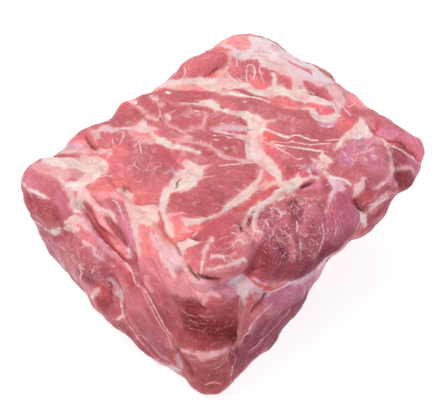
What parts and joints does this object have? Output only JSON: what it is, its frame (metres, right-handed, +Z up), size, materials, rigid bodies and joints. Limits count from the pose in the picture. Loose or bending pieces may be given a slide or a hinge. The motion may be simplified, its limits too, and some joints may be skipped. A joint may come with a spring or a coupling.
{
  "type": "raw boneless pork shoulder roast",
  "caption": "Raw boneless pork shoulder roast: an uneven block of lean muscle, fat seams and membrane, lying on a broad flat side.",
  "frame": {"origin": "on the plane that the roast rests on, under the middle of its bounding box", "axes": "+Z up from the side it lies on; +X along its length, towards the end that is drawn out and undercut; +Y across it, away from the long side with the rough dark muscle"},
  "size_m": [0.2414, 0.1994, 0.1028],
  "materials": {
    "raw_meat": "moist satin"
  },
  "bodies": {
    "root": {"pork_shoulder_roast": "raw_meat"}
  },
  "joints": []
}
